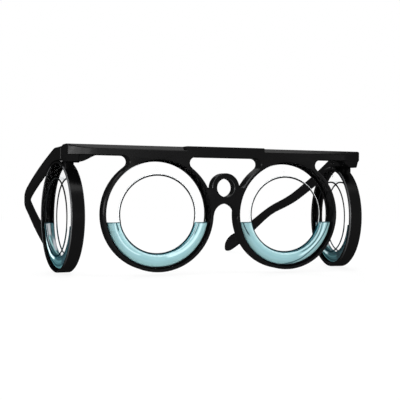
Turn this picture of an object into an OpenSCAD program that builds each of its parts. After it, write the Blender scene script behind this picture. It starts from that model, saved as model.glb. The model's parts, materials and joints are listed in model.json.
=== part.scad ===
// Motion sickness glasses: a lens-less frame with four rings of clear tube,
// each about half full of coloured liquid that stays level as the head tilts.
// Millimetres. X is left and right, Y runs from the front to the tips, Z is up.

/* [Rings] */
// Distance between the centres of the two front rings
ring_pitch = 70; // [64:0.5:76]
// Outer radius of the front rims
front_rim_r = 28.7; // [28.2:0.1:29.5]
// Depth of the front rims and of the brow bar
frame_depth = 8.2; // [7.6:0.1:10]
// Width of the side rims along their axis
side_rim_w = 7; // [6.6:0.1:8]
// Wall of a front rim outside the bore that holds the tube
rim_wall = 1.7; // [1.5:0.1:2.2]
// Radial width of the lip behind the tube
rim_lip = 0.8; // [0.6:0.1:1.4]
// Distance from the brow bar's underside down to the side rims' top
side_top_gap = 2.6; // [2.4:0.1:3.2]
// How far the side rings' centres lie inwards of the end pieces' sides
side_ring_in = 2.3; // [1.8:0.1:2.8]
// Angle by which the side rings open towards the back
side_splay = 5.5; // [3:0.5:7]

/* [Tubes] */
// Width of the clear tube from its outer to its inner edge
tube_band = 7.6; // [7:0.1:9]
// Length of the tube along the ring's axis
tube_len = 5.4; // [5:0.1:5.8]
// Wall of the tube
tube_wall = 0.7; // [0.6:0.1:1]
// Radius of the tube's rounded front edges
tube_round = 1.6; // [1.2:0.1:2]
// Thickness of the cover that closes the tube
cover_t = 1; // [0.8:0.1:1.3]
// How far the liquid's level lies below the ring's centre
liquid_drop = 4.2; // [0:0.1:10]
// Radius of the filling hole in the cover
filler_r = 0.8; // [0.5:0.05:1]

/* [Brow bar] */
// Height of the brow bar
bar_h = 5.4; // [4.5:0.1:7]
// Half width over the end pieces
end_x = 80.6; // [80:0.1:81.5]
// Angle of the turned faces at the ends
end_angle = 30; // [20:1:40]
// Depth at which the turned face meets the side
end_corner_y = 5.5; // [4:0.1:7]
// Radius of the bend into the turned face
end_bend_r = 17; // [10:1:22]
// Back face of the end pieces
end_back_y = 20.5; // [19.5:0.1:22]
// Width of an end piece, side to side
end_w = 9.5; // [9:0.1:10.5]
// How far the end pieces reach below the bar
end_drop = 3.4; // [2.5:0.1:4]
// How far an end piece's side leans inwards below the bar
end_lean = 0.9; // [0.4:0.1:1.2]
// Half width of the middle of the bar, which has no slope
bar_mid_x = 21.3; // [18:0.1:26]
// Height of the slope along the bar's top
slope_h = 2.2; // [1:0.1:3]
// Depth of the slope along the bar's top
slope_d = 7.5; // [3:0.1:7.6]
// Radius of the fillets between the rims and the bar
web_fillet = 3; // [2:0.1:4]

/* [Bridge] */
// Depth of the bridge plate
bridge_depth = 5.9; // [4:0.1:7.5]
// Height of the loop's centre above the rings' centres
loop_z = 13.5; // [12:0.1:15]
// Radius of the hole in the loop
loop_hole_r = 4.7; // [3.5:0.1:5.2]
// Outer radius of the loop
loop_r = 7.4; // [6.6:0.1:8]
// Radius of the nose arch
nose_r = 6.25; // [5.5:0.05:6.3]
// Height of the nose arch's top above the rings' centres
nose_top = 5.45; // [4:0.05:6]

/* [Hinges] */
// Distance from an end piece's inner side to the hinge axis, also the knuckle's radius
knuckle_r = 2.3; // [2.1:0.05:2.4]
// Height of the temple's knuckle
knuckle_h = 3.2; // [2.4:0.1:3.6]
// Height of the end piece's lower ear
ear_h = 2.7; // [2.4:0.1:3]
// Radius of the hinge screw's shank
screw_r = 0.75; // [0.6:0.05:0.9]
// Radius of the hinge screw's head
screw_head_r = 1.55; // [1.3:0.05:1.8]
// Height of the hinge screw's head
screw_head_h = 0.9; // [0.6:0.1:1.2]
// Radius of the threaded insert
insert_r = 1.3; // [1.15:0.05:1.5]
// Height of the threaded insert
insert_h = 2; // [1.6:0.1:2.4]

/* [Temples] */
// Thickness of a temple, side to side
temple_t = 3.7; // [3.2:0.1:4.4]
// Height of a temple where it is thinnest
temple_waist_h = 5.4; // [4.5:0.1:5.9]
// Height of a temple at its tip
temple_tip_h = 10.5; // [8:0.1:12]
// Drop of the temple's top below the brow bar's top
temple_step = 0.5; // [0.4:0.1:1.2]
// Distance from the side rings' centres back to the temple's first bend
temple_kink_back = 3.6; // [3.5:0.1:6]
// Distance from the side rings' centres back to where the arm's underside leaves the side rim's curve
temple_follow = 9.8; // [8:0.1:12]
// Slope of the front part
temple_front_fall = 2.7; // [2:0.1:4]
// Slope of the long arm
temple_fall = 19.2; // [16:0.1:22]
// Where the arm bends further down, from the front face
temple_bend_y = 125.5; // [118:0.5:130]
// Slope behind the bend
temple_tip_fall = 45; // [36:0.5:48]
// Where the tip levels out, from the front face
temple_hook_y = 141.5; // [138:0.5:146]
// Slope of the tip's end
temple_hook_fall = 28; // [20:0.5:36]
// Angle at which the arms leave the front, opening outwards
temple_splay = 9.1; // [7:0.1:11]
// Radius of the arms' slight outward bow
temple_bow_r = 545; // [450:5:700]
// Where the arms start to curve inwards, from the front face
temple_curl_y = 89.5; // [84:0.5:96]
// Radius of the inward curve
temple_curl_r = 76; // [66:1:90]
// Angle at which the tips point inwards
temple_tip_angle = 34.5; // [28:0.5:36]
// Straight length behind the inward curve, from front to back
temple_tip_len = 19; // [14:0.5:26]
// Radius of the long edges of the arm
temple_edge = 1.1; // [0.6:0.1:1.5]

/* [Clearances] */
// Gap round the tube in its rim, and round the covers
seat_gap = 0.05; // [0.02:0.01:0.1]
// Gap round the liquid in its channel
liquid_gap = 0.1; // [0.06:0.01:0.2]
// Radial gap between a hinge screw and the temple's bore
pin_gap = 0.05; // [0.02:0.01:0.09]
// Gap between a temple and its end piece
hinge_gap = 0.3; // [0.2:0.05:0.4]
// Gap above and below the temple's knuckle
ear_gap = 0.15; // [0.1:0.05:0.3]
// Gap between an arm's underside and the side rim
arm_clear = 0.5; // [0.4:0.1:0.8]

/* [Hidden] */
$fn = 96;

// Small extra length that lets cuts pass through a face
over = 0.5;
// Chamfer on the rims' front and back edges
rim_chamfer = 0.5;
// Step that the cover rests on
cover_step = 0.35;
// Share of a rim's spare depth that lies in front of the tube
recess_share = 0.4;
// Flats that round off a tube's edge
edge_steps = 4;
// How much smaller the side rims are than the front ones
side_rim_less = 0.5;
// Widths of the filling plug's head and its recess against the hole
plug_head_extra = 0.6;
plug_head_h = 0.4;
// Width and depth of the slot in a screw head
screw_slot = 0.45;
// Gap round a threaded insert and round the screw in it
press_gap = 0.02;
// Chamfer at the outer corner of an end piece
corner_cut = 1;
// Radius between the bar's back and an end piece's inner side
end_inner_r = 4;
// How far the lower part of an end piece stands back from the bar's front
end_step = 0.9;
// Length and height of the bevel behind the top of an end piece
back_bevel_len = 4.5;
back_bevel_h = 0.9;
// Reach of the gusset inwards and outwards from an end piece's inner side
gusset_in = 5.5;
gusset_out = 3.5;
// How far the bridge plate runs into the rims
bridge_reach = 6;
// Spare depth above the side rim's tongue
socket_spare = 0.2;

// Rings
rim_bore_r = front_rim_r - rim_wall;
tube_inner_r = rim_bore_r - tube_band;
side_rim_r = front_rim_r - side_rim_less;
side_drop = side_rim_r + side_top_gap - front_rim_r;
side_ring_x = end_x - side_ring_in;
side_ring_y = side_rim_r;

// Heights, from the rings' centres
bar_low = front_rim_r;
bar_top = bar_low + bar_h;
end_low = bar_low - end_drop;

// Hinge
hinge_x = end_x - end_w + knuckle_r;
hinge_y = end_back_y + hinge_gap / 2;
mid_low = end_low + ear_h + ear_gap;
mid_top = mid_low + knuckle_h;
pin_bore_r = screw_r + pin_gap;

// Side rim's neck and the tongue that plugs into the end piece
neck_w = 4.4;
neck_d = 4.6;
neck_out_x = end_x - end_lean;
neck_back_y = end_back_y - knuckle_r - seat_gap;
neck_h = 5;
tongue_inset = 0.5;
tongue_h = 4.6;

// Temple path: y places of the stations, then plan, top edge and height at each
temple_front_y = end_back_y + hinge_gap;
curl_sin = sin(temple_splay) - (temple_curl_y - temple_front_y) / temple_bow_r;
curl_end_y = temple_curl_y + temple_curl_r * (curl_sin + sin(temple_tip_angle));
temple_end_y = curl_end_y + temple_tip_len;
curl_start_x = end_x + temple_bow_r * (cos(asin(curl_sin)) - cos(temple_splay));
curl_end_x = curl_start_x + temple_curl_r * (cos(temple_tip_angle) - cos(asin(curl_sin)));
temple_top = bar_top - temple_step;
temple_kink_y = side_ring_y + temple_kink_back;
follow_y = side_ring_y + temple_follow;
kink_soft = 1;
bend_soft = 12;
swell_len = 36;
tip_round = 5.8;
cap_y = temple_end_y - tip_round;
cap_steps = 5;
cap_turn = 80;

// The whole part stands on the lowest points of the side rims, centred front to back
lift = side_rim_r + side_drop;
side_front_y = side_ring_y - side_rim_r * cos(side_splay) - (side_rim_w / 2 - rim_chamfer) * sin(side_splay);
middle_y = (max([for (p = cap_ring(cap_steps)) p[1]]) + side_front_y) / 2;

// Points of an arc about c, from angle a to angle b
function arc(c, r, a, b, n) = [for (i = [0:n]) c + r * [cos(a + (b - a) * i / n), sin(a + (b - a) * i / n)]];

// Smooth step from 0 to 1 while t goes from 0 to 1
function ease(t) = let (u = min(1, max(0, t))) u * u * (3 - 2 * u);

// Two slopes that meet at zero, with the corner softened over a length s either side
function soft_knee(d, s) = d <= -s ? 0 : d >= s ? d : (d + s) * (d + s) / (4 * s);

// Angle of the arm in plan at y, positive where it opens outwards
function plan_angle(y) =
    y <= temple_curl_y ? asin(sin(temple_splay) - (y - temple_front_y) / temple_bow_r)
    : y >= curl_end_y ? -temple_tip_angle
    : asin(curl_sin - (y - temple_curl_y) / temple_curl_r);

// Outer face of the arm at y
function plan_x(y) =
    y <= temple_curl_y ? end_x + temple_bow_r * (cos(plan_angle(y)) - cos(temple_splay))
    : y >= curl_end_y ? curl_end_x - (y - curl_end_y) * tan(temple_tip_angle)
    : curl_start_x + temple_curl_r * (cos(plan_angle(y)) - cos(asin(curl_sin)));

// Top edge of the arm at y
function top_z(y) =
    temple_top
    - (y - temple_front_y) * tan(temple_front_fall)
    - soft_knee(y - temple_kink_y, kink_soft) * (tan(temple_fall) - tan(temple_front_fall))
    - soft_knee(y - temple_bend_y, bend_soft) * (tan(temple_tip_fall) - tan(temple_fall))
    + soft_knee(y - temple_hook_y, bend_soft) * (tan(temple_tip_fall) - tan(temple_hook_fall));

// Underside of the arm's front part: level over the side rim's front half, then round it
function under_z(y) =
    let (behind = max(0, y - side_ring_y))
    sqrt(pow(side_rim_r + arm_clear, 2) - behind * behind) - side_drop;

// Height of the arm at y
function arm_h(y) =
    let (follow_h = top_z(min(y, follow_y)) - under_z(min(y, follow_y)))
    let (thin = ease((y - follow_y) / (temple_bend_y - follow_y)))
    let (swell = ease((y - temple_end_y + swell_len) / swell_len))
    follow_h + (temple_waist_h - follow_h) * thin + (temple_tip_h - temple_waist_h) * swell;

// Rounded rectangle about its centre, four points to a corner
function section(w, h, r) = [
    for (q = [0:3], i = [0:3])
        let (a = q * 90 + i * 30)
        let (sx = q == 0 || q == 3 ? 1 : -1)
        let (sz = q < 2 ? 1 : -1)
        [sx * (w / 2 - r) + r * cos(a), sz * (h / 2 - r) + r * sin(a)]
];

// Moves a shape to the part's own origin
module placed() {
    translate([0, -middle_y, lift]) children();
}

// Carries a ring's local frame, axis along Y and outer face at y = 0, to a front ring
module at_front(side) {
    translate([side * ring_pitch / 2, 0, 0]) children();
}

// The same for a side ring, whose outer face looks outwards
module at_side(side) {
    translate([side * side_ring_x, side_ring_y, -side_drop])
        rotate([0, 0, side * (90 - side_splay)])
            translate([0, -side_rim_w / 2, 0])
                children();
}

// Turns a profile in radius and depth round a ring's axis
module turned() {
    rotate([-90, 0, 0]) rotate_extrude($fn = 128) children();
}

module ring_disc(r, depth) {
    turned() polygon([
        [0, 0], [r - rim_chamfer, 0], [r, rim_chamfer],
        [r, depth - rim_chamfer], [r - rim_chamfer, depth], [0, depth]
    ]);
}

// What a rim's bore takes away: the tube's seat from the front, the lip's hole behind it
module ring_bore(depth) {
    seat = depth - lip_t(depth);
    turned() polygon([
        [0, -over], [rim_bore_r + rim_chamfer / 2, -over], [rim_bore_r + rim_chamfer / 2, 0],
        [rim_bore_r, rim_chamfer / 2], [rim_bore_r, seat], [rim_bore_r - rim_lip, seat],
        [rim_bore_r - rim_lip, depth + over], [0, depth + over]
    ]);
}

// The front of the tube lies this far behind the rim's face; the rest of the depth is lip
function recess(depth) = (depth - tube_len) * recess_share;
function lip_t(depth) = depth - tube_len - recess(depth);

// Front view of what joins a rim to the bar, about the ring's centre
module web_2d() {
    fillet_x = sqrt(4 * front_rim_r * web_fillet);
    fillet_z = front_rim_r - web_fillet;
    foot_z = fillet_z * front_rim_r / (front_rim_r + web_fillet);
    difference() {
        translate([-fillet_x, foot_z]) square([2 * fillet_x, bar_low - foot_z + over]);
        for (s = [-1, 1]) translate([s * fillet_x, fillet_z]) circle(web_fillet);
    }
}

// Extrudes a front view, drawn in X and Z, from the front face back
module from_front(depth) {
    translate([0, depth, 0]) rotate([90, 0, 0]) linear_extrude(depth) children();
}

// Plan of the right half of the bar with its end piece; inset draws the front and the turned face back
module bar_plan(inset = 0) {
    meet_x = end_x - end_corner_y / tan(end_angle);
    tangent = end_bend_r * tan(end_angle / 2);
    inner_x = end_x - end_w;
    corner = [end_x, end_corner_y + inset];
    polygon(concat(
        [[-over, inset]],
        arc([meet_x - tangent, end_bend_r + inset], end_bend_r, -90, -90 + end_angle, 8),
        [corner - corner_cut * [cos(end_angle), sin(end_angle)], corner + [0, corner_cut]],
        [[end_x, end_back_y], [inner_x, end_back_y]],
        arc([inner_x - end_inner_r, frame_depth + end_inner_r], end_inner_r, 0, -90, 6),
        [[-over, frame_depth]]
    ));
}

// Front view of an end piece's lower part with the S-shaped gusset under the bar
module gusset_2d() {
    inner_x = end_x - end_w;
    start_x = inner_x - gusset_in;
    foot_x = inner_x + gusset_out;
    polygon(concat(
        [for (i = [0:10]) [start_x + (foot_x - start_x) * i / 10, bar_low - end_drop * (1 - cos(18 * i)) / 2]],
        [[end_x + over, end_low], [end_x + over, bar_low + over], [start_x, bar_low + over]]
    ));
}

// Slope along the top of the bar, outside its level middle part
module bar_slope() {
    translate([bar_mid_x, 0, 0]) rotate([90, 0, 90]) linear_extrude(end_x) polygon([
        [-over, bar_top - slope_h - over * slope_h / slope_d], [slope_d, bar_top],
        [slope_d, bar_top + over], [-over, bar_top + over]
    ]);
}

// Lean of an end piece's side below the bar, and the bevel behind its top
module end_cuts() {
    lean = end_lean / end_drop;
    bevel = back_bevel_h / back_bevel_len;
    from_front(end_back_y + over) polygon([
        [end_x + end_lean, bar_low + end_drop], [end_x - end_lean - over * lean, end_low - over],
        [end_x + end_lean, end_low - over]
    ]);
    translate([hinge_x + knuckle_r, 0, 0]) rotate([90, 0, 90]) linear_extrude(end_w) polygon([
        [end_back_y - 2 * back_bevel_len, bar_top + back_bevel_h],
        [end_back_y + over, bar_top - back_bevel_h - over * bevel],
        [end_back_y + over, bar_top + back_bevel_h]
    ]);
}

// Ears of the hinge, and the slot between them
module hinge_ears() {
    translate([hinge_x, hinge_y, end_low]) cylinder(r = knuckle_r, h = bar_top - end_low);
}

module hinge_cuts() {
    slot_r = knuckle_r + hinge_gap;
    translate([hinge_x, hinge_y, mid_low - ear_gap]) {
        cylinder(r = slot_r, h = knuckle_h + 2 * ear_gap);
        translate([-slot_r - over, -slot_r, 0])
            cube([slot_r + over, 2 * slot_r, knuckle_h + 2 * ear_gap]);
        cube([slot_r, slot_r, knuckle_h + 2 * ear_gap]);
    }
    translate([hinge_x, hinge_y, end_low - over]) cylinder(r = pin_bore_r, h = bar_top - end_low + 2 * over);
    translate([hinge_x, hinge_y, bar_top - screw_head_h - seat_gap])
        cylinder(r = screw_head_r + seat_gap, h = screw_head_h + over);
    translate([hinge_x, hinge_y, end_low - over]) cylinder(r = insert_r, h = insert_h + over);
}

// Upright block on the neck's plan, drawn in all round by inset
module neck_block(inset, low, height) {
    translate([neck_out_x - neck_w + inset, neck_back_y - neck_d + inset, low])
        cube([neck_w - 2 * inset, neck_d - 2 * inset, height]);
}

// Socket under the end piece for the side rim's tongue
module tongue_socket() {
    neck_block(tongue_inset, end_low - over, over + tongue_h + socket_spare);
}

// Right half of the front moulding
module half_front() {
    difference() {
        union() {
            translate([0, 0, bar_low]) linear_extrude(bar_h) bar_plan();
            intersection() {
                translate([0, 0, end_low]) linear_extrude(end_drop + over) bar_plan(end_step);
                from_front(end_back_y) gusset_2d();
            }
            hinge_ears();
            at_front(1) ring_disc(front_rim_r, frame_depth);
            at_front(1) from_front(frame_depth) web_2d();
        }
        bar_slope();
        end_cuts();
        hinge_cuts();
        tongue_socket();
    }
}

// Bridge: plate between the rims with the loop on top and the nose arch below
module bridge() {
    arch_z = nose_top - nose_r;
    half_w = ring_pitch / 2 - front_rim_r + bridge_reach;
    from_front(bridge_depth) difference() {
        union() {
            translate([-half_w, arch_z]) square([2 * half_w, loop_z - arch_z]);
            translate([0, loop_z]) circle(loop_r);
        }
        translate([0, loop_z]) circle(loop_hole_r);
        translate([0, arch_z]) circle(nose_r);
    }
}

module front_frame() {
    color("#1b1c1e") placed() difference() {
        union() {
            half_front();
            mirror([1, 0, 0]) half_front();
            bridge();
        }
        for (s = [-1, 1]) at_front(s) ring_bore(frame_depth);
    }
}

// Side rim with its neck and tongue
module side_rim(side) {
    color("#1b1c1e") placed() difference() {
        union() {
            at_side(side) ring_disc(side_rim_r, side_rim_w);
            mirror([side < 0 ? 1 : 0, 0, 0]) neck();
        }
        at_side(side) ring_bore(side_rim_w);
    }
}

module neck() {
    neck_block(0, end_low - neck_h, neck_h);
    neck_block(tongue_inset + seat_gap, end_low - over, over + tongue_h);
}

// Clear tube: a ring-shaped channel with rounded front edges, open at the back
module tube_body() {
    r0 = tube_inner_r;
    r1 = rim_bore_r - seat_gap;
    w = tube_wall;
    inner_step = tube_len - cover_t;
    turned() polygon(concat(
        channel_front(tube_round),
        [[r1, tube_len], [r1 - w + cover_step, tube_len], [r1 - w + cover_step, inner_step]],
        [[r1 - w, inner_step]],
        [for (i = [2 * edge_steps + 1:-1:0]) channel_front(tube_round - w)[i]],
        [[r0 + w, inner_step], [r0 + w - cover_step, inner_step]],
        [[r0 + w - cover_step, tube_len], [r0, tube_len]]
    ));
}

// Front of the tube's section, from its inner to its outer side, with corners of radius r
function channel_front(r) = concat(
    arc([tube_inner_r + tube_round, tube_round], r, 180, 270, edge_steps),
    arc([rim_bore_r - seat_gap - tube_round, tube_round], r, -90, 0, edge_steps)
);

// Radius at which the filling hole sits
function filler_ring_r() = (tube_inner_r + rim_bore_r - seat_gap) / 2;

module filler_place() {
    translate([0, tube_len, filler_ring_r()]) rotate([90, 0, 0]) children();
}

module tube_cover() {
    r0 = tube_inner_r + tube_wall - cover_step + seat_gap;
    r1 = rim_bore_r - tube_wall + cover_step - 2 * seat_gap;
    head_r = filler_r + plug_head_extra + seat_gap;
    difference() {
        turned() polygon([
            [r0, tube_len - cover_t], [r1, tube_len - cover_t], [r1, tube_len], [r0, tube_len]
        ]);
        filler_place() translate([0, 0, -over]) {
            cylinder(r = filler_r, h = cover_t + 2 * over);
            cylinder(r = head_r, h = plug_head_h + over);
        }
    }
}

module filler_plug() {
    filler_place() {
        cylinder(r = filler_r + plug_head_extra, h = plug_head_h);
        cylinder(r = filler_r - seat_gap / 2, h = cover_t);
    }
}

// Liquid: the channel's lower part up to a level surface
module liquid_slug() {
    inset = tube_wall + liquid_gap;
    r0 = tube_inner_r + inset;
    r1 = rim_bore_r - seat_gap - inset;
    y1 = tube_len - cover_t - liquid_gap;
    intersection() {
        turned() polygon(concat(channel_front(tube_round - inset), [[r1, y1], [r0, y1]]));
        translate([-r1 - over, 0, -r1 - over]) cube([2 * (r1 + over), tube_len, r1 + over - liquid_drop]);
    }
}

// Puts a tube part behind the face of its rim
module in_front_rim(side) {
    placed() at_front(side) translate([0, recess(frame_depth), 0]) children();
}

module in_side_rim(side) {
    placed() at_side(side) translate([0, recess(side_rim_w), 0]) children();
}

module tube_front(side) {
    color("white", 0.35) in_front_rim(side) tube_body();
}

module tube_side(side) {
    color("white", 0.35) in_side_rim(side) tube_body();
}

module cover_front(side) {
    color("white", 0.35) in_front_rim(side) tube_cover();
}

module cover_side(side) {
    color("white", 0.35) in_side_rim(side) tube_cover();
}

module liquid_front(side) {
    color("#9fd3da") in_front_rim(side) liquid_slug();
}

module liquid_side(side) {
    color("#9fd3da") in_side_rim(side) liquid_slug();
}

module plug_front(side) {
    color("#e8edee") in_front_rim(side) filler_plug();
}

module plug_side(side) {
    color("#e8edee") in_side_rim(side) filler_plug();
}

// One section of the arm at y, drawn in by a factor towards its middle
function arm_ring(y, shrink, ahead) =
    let (a = y <= temple_front_y ? 0 : plan_angle(y))
    let (h = arm_h(y))
    let (fall = top_z(y - 1) - top_z(y))
    let (cx = plan_x(y) - temple_t / 2 * cos(a) - ahead * sin(temple_tip_angle))
    let (cy = y + temple_t / 2 * sin(a) + ahead * cos(temple_tip_angle))
    let (cz = top_z(y) - h / 2 - ahead * fall)
    [for (p = section(temple_t, h, temple_edge))
        [cx + p[0] * shrink * cos(a), cy - p[0] * shrink * sin(a), cz + p[1] * shrink]];

// Solid swept through rings of equal point count
module swept(rings) {
    n = len(rings[0]);
    m = len(rings);
    points = [for (ring = rings, p = ring) p];
    sides = [
        for (j = [0:m - 2], i = [0:n - 1])
            let (a = j * n + i, b = j * n + (i + 1) % n)
            each [[a, b, a + n], [b, b + n, a + n]]
    ];
    polyhedron(
        points = points,
        faces = concat([[for (i = [n - 1:-1:0]) i]], sides, [[for (i = [0:n - 1]) (m - 1) * n + i]])
    );
}

// One of the sections that round off the tip
function cap_ring(i) =
    let (turn = cap_turn * i / cap_steps)
    arm_ring(cap_y, cos(turn), tip_round * sin(turn));

// Right arm, from its flat front end to its rounded tip
module arm() {
    kink_end_y = temple_kink_y + kink_soft;
    stations = concat(
        [temple_front_y, side_ring_y, temple_kink_y - kink_soft, temple_kink_y, kink_end_y],
        [for (i = [1:3]) kink_end_y + i * (follow_y - kink_end_y) / 3],
        [for (i = [1:5]) follow_y + i * (temple_curl_y - follow_y) / 5],
        [for (i = [1:10]) temple_curl_y + i * (curl_end_y - temple_curl_y) / 10],
        [for (i = [1:4]) curl_end_y + i * (cap_y - curl_end_y) / 4]
    );
    swept(concat([for (y = stations) arm_ring(y, 1, 0)], [for (i = [1:cap_steps]) cap_ring(i)]));
}

// Right temple with its hinge leaf and knuckle
module temple_shape() {
    leaf_x = end_x - temple_t - hinge_x + over;
    difference() {
        union() {
            arm();
            translate([hinge_x, hinge_y, mid_low]) cylinder(r = knuckle_r, h = knuckle_h);
            translate([hinge_x, temple_front_y, mid_low])
                cube([leaf_x, knuckle_r - hinge_gap / 2, knuckle_h]);
        }
        translate([hinge_x, hinge_y, mid_low - over]) cylinder(r = pin_bore_r, h = knuckle_h + 2 * over);
    }
}

module temple(side) {
    color("#1b1c1e") placed() mirror([side < 0 ? 1 : 0, 0, 0]) temple_shape();
}

module hinge_screw(side) {
    shank_h = bar_top - end_low - screw_head_h;
    color("silver") placed() translate([side * hinge_x, hinge_y, end_low]) difference() {
        union() {
            cylinder(r = screw_r, h = shank_h);
            translate([0, 0, shank_h]) cylinder(r = screw_head_r, h = screw_head_h);
        }
        translate([-screw_head_r - over, -screw_slot / 2, shank_h + screw_head_h - screw_slot])
            cube([2 * (screw_head_r + over), screw_slot, over + screw_slot]);
    }
}

module hinge_insert(side) {
    color("goldenrod") placed() translate([side * hinge_x, hinge_y, end_low]) difference() {
        cylinder(r = insert_r - press_gap, h = insert_h - press_gap);
        translate([0, 0, -over]) cylinder(r = screw_r + press_gap, h = insert_h + 2 * over);
    }
}

front_frame();
side_rim(-1);  // side_rim_left
side_rim(1);  // side_rim_right
tube_front(-1);  // tube_front_left
tube_front(1);  // tube_front_right
tube_side(-1);  // tube_side_left
tube_side(1);  // tube_side_right
cover_front(-1);  // cover_front_left
cover_front(1);  // cover_front_right
cover_side(-1);  // cover_side_left
cover_side(1);  // cover_side_right
liquid_front(-1);  // liquid_front_left
liquid_front(1);  // liquid_front_right
liquid_side(-1);  // liquid_side_left
liquid_side(1);  // liquid_side_right
plug_front(-1);  // plug_front_left
plug_front(1);  // plug_front_right
plug_side(-1);  // plug_side_left
plug_side(1);  // plug_side_right
temple(-1);  // temple_left
temple(1);  // temple_right
hinge_screw(-1);  // hinge_screw_left
hinge_screw(1);  // hinge_screw_right
hinge_insert(-1);  // hinge_insert_left
hinge_insert(1);  // hinge_insert_right
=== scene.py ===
import json
import math

import bmesh
import bpy
from mathutils import Euler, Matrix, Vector

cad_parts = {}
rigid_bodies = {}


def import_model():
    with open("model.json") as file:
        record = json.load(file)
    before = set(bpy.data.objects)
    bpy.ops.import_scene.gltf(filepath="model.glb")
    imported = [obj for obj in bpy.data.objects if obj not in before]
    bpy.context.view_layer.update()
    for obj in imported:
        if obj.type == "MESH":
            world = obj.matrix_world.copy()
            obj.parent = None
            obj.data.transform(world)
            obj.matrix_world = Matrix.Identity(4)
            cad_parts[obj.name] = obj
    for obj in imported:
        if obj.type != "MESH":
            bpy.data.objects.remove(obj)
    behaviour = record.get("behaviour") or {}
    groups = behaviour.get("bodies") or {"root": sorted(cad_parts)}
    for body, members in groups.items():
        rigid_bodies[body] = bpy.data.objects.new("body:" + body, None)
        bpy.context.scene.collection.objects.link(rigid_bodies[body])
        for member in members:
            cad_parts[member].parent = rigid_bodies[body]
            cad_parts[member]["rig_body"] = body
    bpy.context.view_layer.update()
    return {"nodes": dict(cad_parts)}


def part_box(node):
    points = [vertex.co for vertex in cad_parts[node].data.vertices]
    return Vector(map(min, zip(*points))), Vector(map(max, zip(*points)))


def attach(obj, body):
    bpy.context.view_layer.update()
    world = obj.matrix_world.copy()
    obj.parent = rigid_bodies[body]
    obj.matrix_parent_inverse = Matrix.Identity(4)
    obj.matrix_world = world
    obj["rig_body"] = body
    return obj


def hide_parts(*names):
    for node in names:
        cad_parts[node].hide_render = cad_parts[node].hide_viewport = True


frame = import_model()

nodes = frame["nodes"]


def middleOf(nodeName):
    low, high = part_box(nodeName)
    return (low + high) / 2


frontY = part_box("front_frame")[0].y  # front face of the rims and the brow bar
ringZ = middleOf("tube_front_left").z  # height of the front rings' centres
sideSplay = math.radians(5.5)  # angle by which the side rings open towards the back
print("frame loaded, front face at", round(frontY, 4), "ring centres at height", round(ringZ, 4))

# the place and turn are set against the middle of the front face between the two rings
photoCamera = {
    "lensMm": 76.204,
    "sensorMm": 36,
    "clipM": (0.01, 20),
    "place": (-0.158922, -0.399509, 0.012599),
    "turnDegrees": (89.277, -0.6115, -19.9299),
}


def makeCamera(setup):
    data = bpy.data.cameras.new("photoCamera")
    data.lens = setup["lensMm"]
    data.sensor_width = setup["sensorMm"]
    data.clip_start, data.clip_end = setup["clipM"]
    camera = bpy.data.objects.new("photoCamera", data)
    bpy.context.scene.collection.objects.link(camera)
    camera.location = Vector(setup["place"]) + Vector((0, frontY, ringZ))
    camera.rotation_euler = Euler([math.radians(a) for a in setup["turnDegrees"]])
    bpy.context.scene.camera = camera


makeCamera(photoCamera)
bpy.context.scene.view_settings.view_transform = "Standard"
print("camera placed")


def startMaterial(name):
    material = bpy.data.materials.new(name)
    material.use_nodes = True
    tree = material.node_tree
    return material, tree, tree.nodes["Principled BSDF"], tree.nodes["Material Output"]


def setInputs(tree, node, values):
    for key, value in values.items():
        if isinstance(value, bpy.types.NodeSocket):
            tree.links.new(value, node.inputs[key])
        else:
            node.inputs[key].default_value = value


def addNode(tree, kind, inputs=None, **settings):
    node = tree.nodes.new(kind)
    for key, value in settings.items():
        setattr(node, key, value)
    setInputs(tree, node, inputs or {})
    return node


def maths(tree, operation, *values):
    return addNode(tree, "ShaderNodeMath", dict(enumerate(values)), operation=operation).outputs[0]


def attributeOf(tree, name):
    return addNode(tree, "ShaderNodeAttribute", attribute_name=name).outputs["Fac"]


def noiseOn(tree, vector, scale, detail, bend=0.0):
    return addNode(tree, "ShaderNodeTexNoise", {
        "Vector": vector, "Scale": scale, "Detail": detail, "Distortion": bend
    }).outputs["Fac"]


noiseSpan = (0.3, 0.7)  # most of a noise's values lie between these


def rangeOf(tree, noise, low, high):
    return addNode(tree, "ShaderNodeMapRange", {
        "Value": noise, "From Min": noiseSpan[0], "From Max": noiseSpan[1], "To Min": low, "To Max": high
    }).outputs["Result"]


def smoothStep(tree, value, start, end, top=1.0):
    return addNode(tree, "ShaderNodeMapRange", {
        "Value": value, "From Min": start, "From Max": end, "To Max": top
    }, interpolation_type="SMOOTHSTEP").outputs["Result"]


def blended(tree, share, first, second):
    return addNode(tree, "ShaderNodeMix", {0: share, 6: first, 7: second}, data_type="RGBA").outputs[2]


def mixed(tree, share, first, second):
    return addNode(tree, "ShaderNodeMixShader", {0: share, 1: first, 2: second}).outputs[0]


def glossOf(tree, roughness, **inputs):
    return addNode(tree, "ShaderNodeBsdfGlossy", dict(inputs, Roughness=roughness)).outputs[0]


def sightThrough(tree, **inputs):
    return addNode(tree, "ShaderNodeBsdfTransparent", inputs).outputs[0]


# moulded nylon: nearly black, with a weak even sheen and a very fine grain from the mould; where the edge
# attribute marks chamfers that catch the light, a paler colour paints their highlight
blackNylon = {
    "darkColour": (0.0009, 0.0009, 0.001, 1),
    "lightColour": (0.0018, 0.0018, 0.0019, 1),
    # painted highlight: the colour of the chamfers that the edge attribute marks
    "edgeColour": (0.05, 0.051, 0.053, 1),
    "sheenShare": 0.0069,
    "sheenRoughness": (0.2, 0.27),
    "roughness": 0.6,
    "grainPerMetre": 3800,
    "grainDetail": 3.0,
    "grainStrength": 0.5,
    "grainDepthM": 0.000008,
    "cloudPerMetre": 55,
    "cloudDetail": 2.0,
}


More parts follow.
